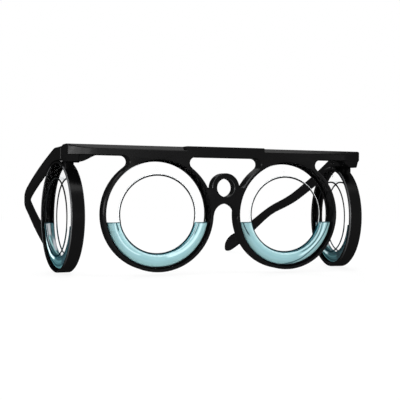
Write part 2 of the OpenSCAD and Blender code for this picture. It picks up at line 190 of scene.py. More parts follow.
def makeBlackNylon(name, look):
    material, tree, skin, output = startMaterial(name)
    spot = addNode(tree, "ShaderNodeTexCoord").outputs["Object"]
    clouds = noiseOn(tree, spot, look["cloudPerMetre"], look["cloudDetail"])
    grain = noiseOn(tree, spot, look["grainPerMetre"], look["grainDetail"])
    tint = blended(tree, rangeOf(tree, clouds, 0, 1), look["darkColour"], look["lightColour"])
    normal = addNode(tree, "ShaderNodeBump", {
        "Strength": look["grainStrength"], "Distance": look["grainDepthM"], "Height": grain
    }).outputs["Normal"]
    setInputs(tree, skin, {
        # painted highlight: the edge attribute pales the colour on the marked chamfers
        "Base Color": blended(tree, attributeOf(tree, "edge"), tint, look["edgeColour"]),
        "Specular IOR Level": 0.0,
        "Roughness": look["roughness"],
        "Normal": normal,
    })
    sheen = glossOf(tree, rangeOf(tree, grain, *look["sheenRoughness"]), Normal=normal)
    setInputs(tree, output, {"Surface": mixed(tree, look["sheenShare"], skin.outputs[0], sheen)})
    return material


# clear plastic of the ring channels: it hardly shows, and darkens and shines where it is seen edge on
clearPlastic = {
    "clearColour": (1, 1, 1, 1),
    "edgeColour": (0.6, 0.63, 0.65, 1),
    "edgePower": 9.0,
    "edgeGloss": 0.008,
    "glossPower": 10.0,
    "roughness": 0.12,
}


def makeClear(name, look):
    material, tree, skin, output = startMaterial(name)
    tree.nodes.remove(skin)
    facing = addNode(tree, "ShaderNodeLayerWeight").outputs["Facing"]
    edge = maths(tree, "POWER", facing, look["edgePower"])
    through = sightThrough(tree, Color=blended(tree, edge, look["clearColour"], look["edgeColour"]))
    share = maths(tree, "MULTIPLY", maths(tree, "POWER", facing, look["glossPower"]), look["edgeGloss"])
    setInputs(tree, output, {"Surface": mixed(tree, share, through, glossOf(tree, look["roughness"]))})
    return material


# the liquid's shape round its ring, in metres; the names are the sockets of the level band below
liquidShape = {
    "Inner Radius": 0.02012,
    "Outer Radius": 0.02622,
    "Front": -0.0019,
    "Back": 0.00155,
    "Corner": 0.0007,
    "Meniscus": 0.0003,
    "Sections": 64,
}
# coloured liquid: its colour runs from the ring's inner to its outer side, with streaks along the ring;
# a stroke is a painted highlight or painted shade line that stands for what the curved wall draws in it, as
# places (along, across), half width and share
shadeTeal = (0.0025, 0.025, 0.037, 1)
highlightTeal = (0.65, 0.86, 0.89, 1)
shadeNavy = (0.009, 0.026, 0.034, 1)
reflectionLilac = (0.52, 0.53, 0.56, 1)
frontLiquid = {
    # painted shade and highlight on the liquid's own teal: a dark line at the inner side, a pale highlight
    # band beside it, and a darker outer side
    "bands": [
        (0.0, (0.03, 0.14, 0.17, 1)),
        (0.05, (0.37, 0.55, 0.585, 1)),
        (0.1, (0.52, 0.72, 0.75, 1)),
        (0.2, (0.32, 0.51, 0.53, 1)),
        (0.34, (0.27, 0.45, 0.475, 1)),
        (0.55, (0.255, 0.42, 0.45, 1)),
        (0.92, (0.24, 0.385, 0.385, 1)),
        (1.0, (0.17, 0.29, 0.31, 1)),
    ],
    "streakColour": (0.15, 0.31, 0.34, 1),
    "streakShare": (0.0, 0.35),
    "streakScale": (9.0, 2.2, 1300.0),
    "streakDetail": 2.0,
    "streakBend": 0.6,
    "seeThrough": 0.2,
    "throughColour": (0.5, 0.78, 0.81, 1),
    "skinRoughness": 0.6,
    "roughness": 0.1,
    "gloss": 0.018,
    # painted shade: a dark line at both ends of the liquid, where it meets its level
    "levelLine": 0.007,
    "levelShare": 0.8,
}
frontLeftLiquid = dict(frontLiquid, strokes=[
    {"path": [(0.0, 0.42), (0.2, 0.45), (0.36, 0.3)], "halfWidth": 0.09, "share": 0.5, "colour": highlightTeal},
    {"path": [(0.0, 0.28), (0.09, 0.28)], "halfWidth": 0.09, "share": 0.9, "colour": shadeTeal},
    {"path": [(0.55, 0.2), (0.8, 0.4), (1.0, 0.5)], "halfWidth": 0.16, "share": 0.65, "colour": highlightTeal},
    {"path": [(0.62, 0.0), (0.8, 0.06), (1.0, 0.12)], "halfWidth": 0.05, "share": 0.85, "colour": shadeTeal},
    {"path": [(0.86, 0.2), (1.0, 0.27)], "halfWidth": 0.07, "share": 0.85, "colour": shadeTeal},
])
frontRightLiquid = dict(frontLiquid, strokes=[
    {"path": [(0.6, 0.5), (0.8, 0.48), (1.0, 0.5)], "halfWidth": 0.12, "share": 0.65, "colour": highlightTeal},
    {"path": [(0.0, 0.8), (0.13, 0.52)], "halfWidth": 0.09, "share": 0.9, "colour": shadeTeal},
    {"path": [(0.56, 0.0), (0.8, 0.05), (1.0, 0.07)], "halfWidth": 0.07, "share": 0.85, "colour": shadeTeal},
    {"path": [(0.62, 0.24), (0.85, 0.31), (1.0, 0.22)], "halfWidth": 0.08, "share": 0.85, "colour": shadeTeal},
    {"path": [(0.45, 1.0), (0.62, 0.77), (0.76, 0.61), (0.875, 0.66), (1.0, 0.8)],
     "halfWidth": 0.08, "share": 0.85, "colour": shadeTeal},
])
# painted shade: the side rings' liquid is a darker copy of the same liquid, its bands painted with dark lines
# and pale reflections
sideLiquid = dict(
    frontLiquid,
    bands=[
        (0.0, (0.046, 0.115, 0.13, 1)),
        (0.1, (0.009, 0.046, 0.054, 1)),
        (0.25, (0.03, 0.09, 0.108, 1)),
        (0.5, (0.077, 0.2, 0.215, 1)),
        (0.75, (0.023, 0.077, 0.092, 1)),
        (0.95, (0.12, 0.31, 0.32, 1)),
        (1.0, (0.012, 0.04, 0.05, 1)),
    ],
    streakColour=(0.006, 0.03, 0.04, 1),
    streakShare=(-0.3, 0.9),
    seeThrough=0.06,
    insideFade=(0.1, 0.03),
)
# painted shade and reflections: the end of the path that is next to the front rings is painted dark, the far
# end takes painted pale reflections
sideStrokes = [
    {"path": [(0.0, 0.5), (0.3, 0.5)], "halfWidth": 0.4, "share": 0.85, "colour": reflectionLilac},
    {"path": [(0.1, 0.9), (0.28, 0.62), (0.42, 0.3)], "halfWidth": 0.16, "share": 0.9, "colour": highlightTeal},
    {"path": [(0.02, 0.98), (0.2, 0.5), (0.42, 0.05)], "halfWidth": 0.06, "share": 0.85, "colour": shadeTeal},
    {"path": [(0.58, 0.5), (1.0, 0.5)], "halfWidth": 1.6, "share": 0.85, "colour": shadeNavy},
]
# painted reflections and shade on the side that faces the ring's middle; there the strokes' second number
# runs from the outer to the inner face
insideStrokes = [
    {"path": [(0.0, 1.0), (1.0, 1.0)], "halfWidth": 0.16, "share": 0.6, "colour": (0.25, 0.38, 0.4, 1)},
    {"path": [(0.14, 0.85), (0.34, 0.5)], "halfWidth": 0.34, "share": 0.85, "colour": (0.4, 0.41, 0.44, 1)},
    {"path": [(0.1, 0.0), (0.2, 0.22), (0.4, 0.5)], "halfWidth": 0.16, "share": 0.8,
     "colour": (0.22, 0.44, 0.45, 1)},
    {"path": [(0.0, 0.5), (0.14, 0.5)], "halfWidth": 0.16, "share": 0.85, "colour": (0.015, 0.03, 0.03, 1)},
    {"path": [(0.0, 0.16), (0.14, 0.2)], "halfWidth": 0.34, "share": 0.9, "colour": (0.4, 0.41, 0.43, 1)},
    {"path": [(0.56, 0.5), (1.0, 0.5)], "halfWidth": 1.6, "share": 0.85, "colour": shadeNavy},
]
# a stroke's soft edge as a share of its half width, and the lengths over which its two ends fade
strokeFade = {"edge": 0.3, "start": 0.06, "end": 0.04}


def mirroredStrokes(strokes, flip=False):
    turned = []
    for stroke in strokes:
        path = [(1 - along, 1 - across if flip else across) for along, across in reversed(stroke["path"])]
        turned.append(dict(stroke, path=path))
    return turned


def paintStroke(tree, along, across, stroke, under):
    path = stroke["path"]
    middle = addNode(tree, "ShaderNodeFloatCurve", {"Value": along})
    curve = middle.mapping.curves[0]
    while len(curve.points) < len(path):
        curve.points.new(0.5, 0.5)
    for point, place in zip(curve.points, path):
        point.location = place
    middle.mapping.extend = "HORIZONTAL"
    middle.mapping.update()
    away = maths(tree, "ABSOLUTE", maths(tree, "SUBTRACT", across, middle.outputs[0]))
    fades = [(away, stroke["halfWidth"], strokeFade["edge"] * stroke["halfWidth"])]
    first, last = path[0][0], path[-1][0]
    if first > 0:
        fades.append((along, first, first + strokeFade["start"]))
    if last < 1:
        fades.append((along, last, last - strokeFade["end"]))
    share = stroke["share"]
    for source, nothing, full in fades:
        share = maths(tree, "MULTIPLY", smoothStep(tree, source, nothing, full), share)
    return blended(tree, share, under, stroke["colour"])


def paintStrokes(tree, along, across, strokes, colour):
    for stroke in strokes:
        colour = paintStroke(tree, along, across, stroke, colour)
    return colour


def makeLiquid(name, look):
    material, tree, skin, output = startMaterial(name)
    across, along, depth = [attributeOf(tree, part) for part in ("across", "along", "depth")]
    ramp = addNode(tree, "ShaderNodeValToRGB", {"Fac": across})
    stops = ramp.color_ramp.elements
    while len(stops) < len(look["bands"]):
        stops.new(0.5)
    for stop, (place, colour) in zip(stops, look["bands"]):
        stop.position = place
        stop.color = colour
    lane = addNode(tree, "ShaderNodeCombineXYZ", {"X": across, "Y": along, "Z": depth}).outputs[0]
    stretched = addNode(tree, "ShaderNodeMapping", {"Vector": lane, "Scale": look["streakScale"]}).outputs[0]
    streaks = noiseOn(tree, stretched, 1.0, look["streakDetail"], look["streakBend"])
    streaked = blended(
        tree, rangeOf(tree, streaks, *look["streakShare"]), ramp.outputs["Color"], look["streakColour"]
    )
    colour = paintStrokes(tree, along, across, look["strokes"], streaked)
    if "insideStrokes" in look:
        reach = addNode(tree, "ShaderNodeMapRange", {
            "Value": depth, "From Min": liquidShape["Front"], "From Max": liquidShape["Back"]
        }).outputs["Result"]
        inside = paintStrokes(tree, along, reach, look["insideStrokes"], streaked)
        colour = blended(tree, smoothStep(tree, across, *look["insideFade"]), colour, inside)
    # painted shade: dark lines at both ends of the liquid, where it meets its level
    colour = paintStrokes(tree, across, along, [
        {"path": [(0.0, end), (1.0, end)], "halfWidth": look["levelLine"], "share": look["levelShare"],
         "colour": shadeTeal}
        for end in (0.0, 1.0)
    ], colour)
    setInputs(tree, skin, {
        "Base Color": colour, "Roughness": look["skinRoughness"], "Specular IOR Level": 0.0
    })
    body = mixed(tree, look["seeThrough"], skin.outputs[0], sightThrough(tree, Color=look["throughColour"]))
    shine = glossOf(tree, look["roughness"])
    setInputs(tree, output, {"Surface": mixed(tree, look["gloss"], body, shine)})
    return material


# painted shade: a dark line where the clear wall bends the light, darker and tinted where the liquid stands
# behind it
paintedEdgeShade = {"dryColour": (0.006, 0.0065, 0.007, 1), "wetColour": (0.0025, 0.015, 0.021, 1), "roughness": 0.3}


def makePaintedEdgeShade(name, look):
    material, tree, skin, _ = startMaterial(name)
    setInputs(tree, skin, {
        "Base Color": blended(tree, attributeOf(tree, "wet"), look["dryColour"], look["wetColour"]),
        "Roughness": look["roughness"],
        "Specular IOR Level": 0.0,
    })
    return material


# pale line beside the dark one, where the wall's corner catches the light
edgeGlint = {"colour": (0.9, 0.93, 0.94, 1), "seeThrough": 0.1, "roughness": 0.35}


def makeEdgeGlint(name, look):
    material, tree, skin, output = startMaterial(name)
    setInputs(tree, skin, {"Base Color": look["colour"], "Roughness": look["roughness"]})
    surface = mixed(tree, look["seeThrough"], skin.outputs[0], sightThrough(tree))
    setInputs(tree, output, {"Surface": surface})
    return material


# metal of the small parts, with fine scratches that change its roughness
screwSteel = {"colour": (0.42, 0.425, 0.43, 1), "roughness": (0.24, 0.38)}
insertSteel = {"colour": (0.03, 0.03, 0.032, 1), "roughness": (0.29, 0.43)}
scratches = {"perMetre": 2500, "detail": 4.0}


def makeMetal(name, look):
    material, tree, skin, _ = startMaterial(name)
    spot = addNode(tree, "ShaderNodeTexCoord").outputs["Object"]
    lines = noiseOn(tree, spot, scratches["perMetre"], scratches["detail"])
    setInputs(tree, skin, {
        "Base Color": look["colour"], "Metallic": 1.0, "Roughness": rangeOf(tree, lines, *look["roughness"])
    })
    return material


finishes = {
    "nylon": makeBlackNylon("blackNylon", blackNylon),
    "clear": makeClear("clearPlastic", clearPlastic),
    "front_left": makeLiquid("frontLeftLiquid", frontLeftLiquid),
    "front_right": makeLiquid("frontRightLiquid", frontRightLiquid),
    "side_left": makeLiquid("sideLeftLiquid", dict(
        sideLiquid, strokes=sideStrokes, insideStrokes=insideStrokes
    )),
    "side_right": makeLiquid("sideRightLiquid", dict(
        sideLiquid, strokes=mirroredStrokes(sideStrokes), insideStrokes=mirroredStrokes(insideStrokes, True)
    )),
    "paintedEdgeShade": makePaintedEdgeShade("paintedEdgeShade", paintedEdgeShade),
    "edgeGlint": makeEdgeGlint("edgeGlint", edgeGlint),
    "steel": makeMetal("screwSteel", screwSteel),
    "blackSteel": makeMetal("insertBlackSteel", insertSteel),
}
finishOfNode = {
    "front_frame": "nylon",
    "side_rim": "nylon",
    "temple": "nylon",
    "tube": "clear",
    "cover": "clear",
    "plug": "clear",
    "liquid": "front_left",
    "hinge_screw": "steel",
    "hinge_insert": "blackSteel",
}


def dress(node, finish):
    node.data.materials.clear()
    node.data.materials.append(finishes[finish])


for name, node in nodes.items():
    start = next(key for key in finishOfNode if name.startswith(key))
    dress(node, finishOfNode[start])
print("materials given to", len(nodes), "CAD nodes")

# the black mouldings are copied and merged, and their outer corners get fine chamfers, as a mould leaves them
mouldedEdges = {
    "mergeM": 0.000001,
    "flatDegrees": 0.6,
    "cornerDegrees": (60, 125),
    "chamferM": 0.0003,
    "creaseDegrees": 25,
    "flatWeight": 60,
}
slant = {"least": 0.3, "most": 0.95}  # share of a chamfer's normal that points along the ring's axis
# the gussets under the bar's ends: which part of the front moulding they are, and how far they slope back
gussetLook = {"fromXM": 0.0651, "barHeightM": 0.0054, "dropM": 0.0036, "depthM": 0.0073, "slope": 0.5}
# a side rim's section: radii and depths of its corners, from its axis and from its outer face; its chamfers
# are widened to chamferM, and the bore's to boreChamferM, and their painted highlight fades towards the rim's
# foot
rimSection = {
    "outerM": 0.0282,
    "boreM": 0.0269,
    "depthM": 0.007,
    "tubeMiddleM": 0.00334,
    "oldChamferM": 0.0005,
    "chamferM": 0.00085,
    "oldBoreChamferM": 0.00025,
    "boreChamferM": 0.00058,
    "nearM": 0.00003,
    "slackM": 0.0001,
    "boreBandM": 0.0004,
    "fadeOut": -0.85,
    "fadeLength": 0.6,
    "tintTop": 0.9,
}
# an arm's underside runs this far above the side rim's top in the CAD, and is drawn this much lower
armUnderside = {"clearM": 0.0005, "bandM": 0.0012, "lowerM": 0.00042, "fadeM": 0.012}
# painted highlight: the front rims' outer chamfers are painted with a pale line on both rims' right sides,
# and on the right rim's upper left, where the wall behind the chamfer is painted pale too, up to where its
# normal rises by wallTop
frontRimHighlight = {
    "innerM": 0.0281,
    "outerM": 0.02875,
    "chamferDepthM": 0.0006,
    "wallDepthM": 0.0026,
    "wallTop": 0.7,
    "strength": 0.9,
}
# painted highlight: the loop's chamfers that face left are painted with a pale line; height of its centre,
# and the radii of its hole and outside
loopHighlight = {"aboveRingsM": 0.0135, "radiiM": (0.0047, 0.0074), "bandM": 0.0005, "strength": 0.55}


def rimAxis(nodeName):
    side = -1 if nodeName.endswith("left") else 1
    inward = Vector((-side * math.cos(sideSplay), math.sin(sideSplay), 0))
    return middleOf(nodeName.replace("side_rim", "tube_side")), inward


def rimPlace(centre, inward, spot, look):
    offset = spot - centre
    depth = offset.dot(inward)
    outward = offset - depth * inward
    return outward, outward.length, depth + look["tubeMiddleM"]


def widenChamfers(work, nodeName, look):
    old, new, near = look["oldChamferM"], look["chamferM"], look["nearM"]
    centre, inward = rimAxis(nodeName)
    for corner in work.verts:
        outward, radius, depth = rimPlace(centre, inward, corner.co, look)
        for face, sign in ((0.0, 1), (look["depthM"], -1)):
            if abs(depth - face) < near and abs(radius - look["outerM"] + old) < near:
                corner.co += outward.normalized() * (old - new)
            if abs(depth - face - sign * old) < near and abs(radius - look["outerM"]) < near:
                corner.co += inward * sign * (new - old)
        if abs(depth - look["oldBoreChamferM"]) < near and abs(radius - look["boreM"]) < near:
            corner.co += inward * (look["boreChamferM"] - look["oldBoreChamferM"])


# painted highlight: marks the side rim's outer and bore chamfers to be pale, less towards the rim's foot
def paintChamferHighlight(work, nodeName, look):
    layer = work.faces.layers.float.new("edge")
    work.normal_update()
    centre, inward = rimAxis(nodeName)
    for face in work.faces:
        outward, radius, depth = rimPlace(centre, inward, face.calc_center_median(), look)
        slanted = slant["least"] < abs(face.normal.dot(inward)) < slant["most"]
        outer = radius > look["outerM"] - look["chamferM"] - look["slackM"]
        bore = look["boreM"] < radius < look["boreM"] + look["boreBandM"]
        atFace = min(depth, look["depthM"] - depth) < look["chamferM"]
        height = outward.z / look["outerM"]
        fade = min(1.0, max(0.0, (height - look["fadeOut"]) / look["fadeLength"]))
        face[layer] = fade if slanted and atFace and (outer or bore) and height < look["tintTop"] else 0.0


# painted highlight: marks the front rims' lit chamfers, and the wall behind them, to be pale
def paintFrontRimHighlight(work, look):
    layer = work.faces.layers.float.new("edge")
    work.normal_update()
    centres = [middleOf("tube_front_left"), middleOf("tube_front_right")]
    for face in work.faces:
        spot, normal = face.calc_center_median(), face.normal
        depth = spot.y - frontY
        chamfer = slant["least"] < -normal.y < slant["most"] and depth < look["chamferDepthM"]
        facesLeft = normal.x < 0 and normal.z < look["wallTop"]
        wall = facesLeft and abs(normal.y) < slant["least"] and depth < look["wallDepthM"]
        lit = normal.x > 0 or (spot.x > 0 and normal.z > 0)
        if not lit or not (chamfer or wall):
            continue
        for centre in centres:
            radius = math.hypot(spot.x - centre.x, spot.z - centre.z)
            if look["innerM"] < radius < look["outerM"]:
                face[layer] = look["strength"] * abs(normal.x)


# painted highlight: marks the loop's left-facing chamfers to be pale
def paintLoopHighlight(work, look):
    layer = work.faces.layers.float["edge"]
    work.normal_update()
    for face in work.faces:
        spot, normal = face.calc_center_median(), face.normal
        if not slant["least"] < -normal.y < slant["most"] or normal.x > 0:
            continue
        radius = math.hypot(spot.x, spot.z - ringZ - look["aboveRingsM"])
        if any(abs(radius - edge) < look["bandM"] for edge in look["radiiM"]):
            face[layer] = -look["strength"] * normal.x


def lowerArm(work, nodeName, look):
    centre = middleOf(nodeName.replace("temple", "tube_side"))
    reach = rimSection["outerM"] + look["clearM"]
    for corner in work.verts:
        behind = max(0.0, corner.co.y - centre.y)
        if behind > look["fadeM"]:
            continue
        underside = centre.z + math.sqrt(reach ** 2 - behind ** 2)
        if corner.co.z < underside + look["bandM"]:
            corner.co.z -= look["lowerM"] * (1 - behind / look["fadeM"])


def leanGussets(work, look):
    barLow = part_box("front_frame")[1].z - look["barHeightM"]
    for corner in work.verts:
        under = barLow - corner.co.z
        atEnd = abs(corner.co.x) > look["fromXM"] and corner.co.y < frontY + look["depthM"]
        if atEnd and 0 < under < look["dropM"]:
            corner.co.y += look["slope"] * under


def chamferCorners(work, look):
    low, high = look["cornerDegrees"]
    corners = [
        edge for edge in work.edges
        if edge.is_manifold and edge.is_convex and low < math.degrees(edge.calc_face_angle()) < high
    ]
    bmesh.ops.bevel(
        work, geom=corners, offset=look["chamferM"], offset_type="OFFSET", segments=1, profile=0.5,
        affect="EDGES", clamp_overlap=False
    )


def applyModifiers(piece):
    depsgraph = bpy.context.evaluated_depsgraph_get()
    finished = bpy.data.meshes.new_from_object(piece.evaluated_get(depsgraph))
    piece.modifiers.clear()
    piece.data = finished


def mouldedCopy(nodeName, pieceName, look):
    node = nodes[nodeName]
    mesh = node.data.copy()
    mesh.name = pieceName
    work = bmesh.new()
    work.from_mesh(mesh)
    bmesh.ops.remove_doubles(work, verts=work.verts, dist=look["mergeM"])
    bmesh.ops.dissolve_limit(
        work, angle_limit=math.radians(look["flatDegrees"]), verts=work.verts, edges=work.edges
    )
    bmesh.ops.triangulate(work, faces=work.faces)
    if nodeName == "front_frame":
        leanGussets(work, gussetLook)
        paintFrontRimHighlight(work, frontRimHighlight)
    elif nodeName.startswith("temple"):
        lowerArm(work, nodeName, armUnderside)
    else:
        widenChamfers(work, nodeName, rimSection)
        paintChamferHighlight(work, nodeName, rimSection)
    chamferCorners(work, look)
    if nodeName == "front_frame":
        paintLoopHighlight(work, loopHighlight)
    work.to_mesh(mesh)
    work.free()
    mesh.polygons.foreach_set("use_smooth", [True] * len(mesh.polygons))
    mesh.set_sharp_from_angle(angle=math.radians(look["creaseDegrees"]))
    piece = bpy.data.objects.new(pieceName, mesh)
    bpy.context.scene.collection.objects.link(piece)
    evened = piece.modifiers.new("evenedShading", "WEIGHTED_NORMAL")
    evened.weight = look["flatWeight"]
    evened.keep_sharp = True
    applyModifiers(piece)
    dress(piece, "nylon")
    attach(piece, node["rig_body"])
    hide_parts(nodeName)
    return piece


mouldings = {
    "front_frame": ("frontMoulding", "frame_black"),
    "side_rim_left": ("sideRimLeft", "side_rim_black"),
    "side_rim_right": ("sideRimRight", "side_rim_black"),
    "temple_left": ("templeLeft", "temple_black"),
    "temple_right": ("templeRight", "temple_black"),
}
for nodeName, (pieceName, slotName) in mouldings.items():
    piece = mouldedCopy(nodeName, pieceName, mouldedEdges)
    print(pieceName, "has", len(piece.data.polygons), "faces")


# the liquid and the lines of the clear rings follow rules, so geometry nodes sweep them round each ring
class NodeSheet:
    def __init__(self, name, sockets):
        self.tree = bpy.data.node_groups.new(name, "GeometryNodeTree")
        for label, kind, value in sockets:
            socket = self.tree.interface.new_socket(label, in_out="INPUT", socket_type=kind)
            if value is not None:
                socket.default_value = value
        self.tree.interface.new_socket("Geometry", in_out="OUTPUT", socket_type="NodeSocketGeometry")
        self.given = self.tree.nodes.new("NodeGroupInput").outputs
        self.result = self.tree.nodes.new("NodeGroupOutput")

    def add(self, kind, inputs=None, **settings):
        return addNode(self.tree, kind, inputs, **settings)

    def maths(self, operation, *values):
        return maths(self.tree, operation, *values)

    def keep(self, geometry, name, value):
        return self.add(
            "GeometryNodeStoreNamedAttribute", {"Geometry": geometry, "Name": name, "Value": value}
        ).outputs["Geometry"]

    def read(self, name):
        return self.add("GeometryNodeInputNamedAttribute", {"Name": name}).outputs["Attribute"]

    def spot(self):
        position = self.add("GeometryNodeInputPosition").outputs[0]
        return self.add("ShaderNodeSeparateXYZ", {"Vector": position}).outputs

    def finish(self, mesh, x, y, z):
        spot = self.add("ShaderNodeCombineXYZ", {"X": x, "Y": y, "Z": z})
        turned = self.add(
            "ShaderNodeVectorRotate", {"Vector": spot.outputs[0], "Angle": self.given["Turn"]},
            rotation_type="Z_AXIS"
        )
        place = self.add(
            "ShaderNodeVectorMath", {0: turned.outputs[0], 1: self.given["Centre"]}, operation="ADD"
        )
        moved = self.add("GeometryNodeSetPosition", {"Geometry": mesh, "Position": place.outputs[0]})
        smooth = self.add("GeometryNodeSetShadeSmooth", {"Geometry": moved.outputs[0]})
        whole = self.add("GeometryNodeRealizeInstances", {"Geometry": smooth.outputs[0]})
        dressed = self.add(
            "GeometryNodeSetMaterial", {"Geometry": whole.outputs[0], "Material": self.given["Material"]}
        )
        self.tree.links.new(dressed.outputs[0], self.result.inputs[0])
        return self.tree


commonSockets = [
    ("Geometry", "NodeSocketGeometry", None),
    ("Centre", "NodeSocketVector", (0, 0, 0)),
    ("Turn", "NodeSocketFloat", 0.0),
    ("Level", "NodeSocketFloat", 0.004),
    ("Sections", "NodeSocketInt", 64),
    ("Material", "NodeSocketMaterial", None),
]
# a band between two radii, swept round the ring's lower part and cut off by a level plane, with a meniscus
# that climbs at its two walls
bandDetail = {"cornerSteps": 4, "cuts": 2, "meniscusPower": 6.0}


def makeLevelBand():
    sheet = NodeSheet("levelBand", commonSockets + [
        ("Inner Radius", "NodeSocketFloat", 0.02),
        ("Outer Radius", "NodeSocketFloat", 0.026),
        ("Front", "NodeSocketFloat", -0.002),
        ("Back", "NodeSocketFloat", 0.002),
        ("Corner", "NodeSocketFloat", 0.0007),
        ("Meniscus", "NodeSocketFloat", 0.0003),
    ])
    given, maths = sheet.given, sheet.maths
    width = maths("SUBTRACT", given["Outer Radius"], given["Inner Radius"])
    depth = maths("SUBTRACT", given["Back"], given["Front"])
    outline = sheet.add("GeometryNodeCurvePrimitiveQuadrilateral", {"Width": width, "Height": depth})
    rounded = sheet.add("GeometryNodeFilletCurve", {
        "Curve": outline.outputs[0], "Count": bandDetail["cornerSteps"], "Radius": given["Corner"]
    }, mode="POLY")
    finer = sheet.add("GeometryNodeSubdivideCurve", {"Curve": rounded.outputs[0], "Cuts": bandDetail["cuts"]})
    spot = sheet.spot()
    share = maths("ADD", maths("DIVIDE", spot["X"], width), 0.5)
    middle = maths("MULTIPLY", maths("ADD", given["Front"], given["Back"]), 0.5)
    profile = sheet.keep(finer.outputs[0], "across", share)
    profile = sheet.keep(profile, "depth", maths("ADD", spot["Y"], middle))
    line = sheet.add("GeometryNodeCurvePrimitiveLine", {"End": (0, 0, 1)})
    path = sheet.add("GeometryNodeResampleCurve", {"Curve": line.outputs[0], "Count": given["Sections"]})
    path = sheet.keep(path.outputs[0], "along", sheet.add("GeometryNodeSplineParameter").outputs["Factor"])
    mesh = sheet.add("GeometryNodeCurveToMesh", {"Curve": path, "Profile Curve": profile, "Fill Caps": True})

    across = sheet.read("across")
    radius = maths("ADD", given["Inner Radius"], maths("MULTIPLY", across, width))
    fromMiddle = maths("ABSOLUTE", maths("MULTIPLY_ADD", across, 2.0, -1.0))
    wall = maths("POWER", fromMiddle, bandDetail["meniscusPower"])
    drop = maths("SUBTRACT", given["Level"], maths("MULTIPLY", given["Meniscus"], wall))
    reach = maths("ARCCOSINE", maths("DIVIDE", drop, radius))
    angle = maths("MULTIPLY", reach, maths("MULTIPLY_ADD", sheet.read("along"), 2.0, -1.0))
    x = maths("MULTIPLY", radius, maths("SINE", angle))
    z = maths("MULTIPLY", maths("MULTIPLY", radius, maths("COSINE", angle)), -1.0)
    return sheet.finish(mesh.outputs[0], x, sheet.read("depth"), z)


# a closed thin line round the ring that changes its thickness below the liquid's level, over wetFadeM
lineDetail = {"sides": 10, "wetFadeM": (-0.0002, 0.0012)}


def makeRingLine():
    sheet = NodeSheet("seamLine", commonSockets + [
        ("Radius", "NodeSocketFloat", 0.0195),
        ("Depth", "NodeSocketFloat", 0.0),
        ("Dry Thickness", "NodeSocketFloat", 0.0002),
        ("Wet Thickness", "NodeSocketFloat", 0.0004),
        ("Wet Shift", "NodeSocketFloat", 0.0),
        ("Top Growth", "NodeSocketFloat", 0.0),
    ])
    given, maths = sheet.given, sheet.maths
    spot = sheet.spot()
    wire = sheet.add("GeometryNodeCurvePrimitiveCircle", {"Resolution": lineDetail["sides"], "Radius": 1.0})
    profile = sheet.keep(wire.outputs[0], "outward", spot["X"])
    profile = sheet.keep(profile, "inDepth", spot["Y"])
    loop = sheet.add("GeometryNodeCurvePrimitiveCircle", {"Resolution": given["Sections"], "Radius": 1.0})
    path = sheet.keep(loop.outputs[0], "sideways", spot["X"])
    path = sheet.keep(path, "upwards", spot["Y"])
    mesh = sheet.add("GeometryNodeCurveToMesh", {"Curve": path, "Profile Curve": profile})

    height = maths("MULTIPLY", sheet.read("upwards"), given["Radius"])
    under = maths("SUBTRACT", maths("MULTIPLY", height, -1.0), given["Level"])
    wet = smoothStep(sheet.tree, under, *lineDetail["wetFadeM"])
    growth = maths("MULTIPLY", wet, maths("SUBTRACT", given["Wet Thickness"], given["Dry Thickness"]))
    crown = maths("MULTIPLY", maths("MAXIMUM", sheet.read("upwards"), 0.0), given["Top Growth"])
    thickness = maths("ADD", maths("ADD", given["Dry Thickness"], crown), growth)
    middle = maths("ADD", given["Radius"], maths("MULTIPLY", wet, given["Wet Shift"]))
    radius = maths("ADD", middle, maths("MULTIPLY", sheet.read("outward"), thickness))
    depth = maths("ADD", given["Depth"], maths("MULTIPLY", sheet.read("inDepth"), thickness))
    marked = sheet.keep(mesh.outputs[0], "wet", wet)
    x = maths("MULTIPLY", radius, sheet.read("sideways"))
    z = maths("MULTIPLY", radius, sheet.read("upwards"))
    return sheet.finish(marked, x, depth, z)


levelBand = makeLevelBand()
seamLine = makeRingLine()
ringLook = {"levelM": 0.0042, "creaseDegrees": 40}


def sweptPiece(pieceName, tree, nodeName, values, finish, bodyName):
    turn = 0.0
    if "side" in nodeName:
        turn = (math.radians(90) - sideSplay) * (-1 if "left" in nodeName else 1)
    piece = bpy.data.objects.new(pieceName, bpy.data.meshes.new(pieceName))
    bpy.context.scene.collection.objects.link(piece)
    sweep = piece.modifiers.new("sweep", "NODES")
    sweep.node_group = tree
    allValues = dict(
        values, Centre=middleOf(nodeName), Turn=turn, Level=ringLook["levelM"], Material=finishes[finish]
    )
    for socket in tree.interface.items_tree:
        if socket.in_out == "INPUT" and socket.name in allValues:
            sweep[socket.identifier] = allValues[socket.name]
    applyModifiers(piece)
    work = bmesh.new()
    work.from_mesh(piece.data)
    bmesh.ops.recalc_face_normals(work, faces=work.faces)
    work.to_mesh(piece.data)
    work.free()
    piece.data.set_sharp_from_angle(angle=math.radians(ringLook["creaseDegrees"]))
    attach(piece, bodyName)
    return piece


# painted shade: the dark lines where the clear wall bends the light on the ring's inner side, one on a front
# ring and two on a side ring
shadeLineShape = {
    "Radius": 0.01952,
    "Dry Thickness": 0.0003,
    "Wet Thickness": 0.00036,
    "Wet Shift": 0.00024,
    "Top Growth": 0.00012,
    "Sections": 128,
}
shadeLineDepths = {"front": (-0.0003,), "side": (-0.003, 0.003)}
# painted highlight: the pale line beside the front rings' dark line
glintShape = {"Radius": 0.01995, "Dry Thickness": 0.00016, "Wet Thickness": 0.00016, "Sections": 128}
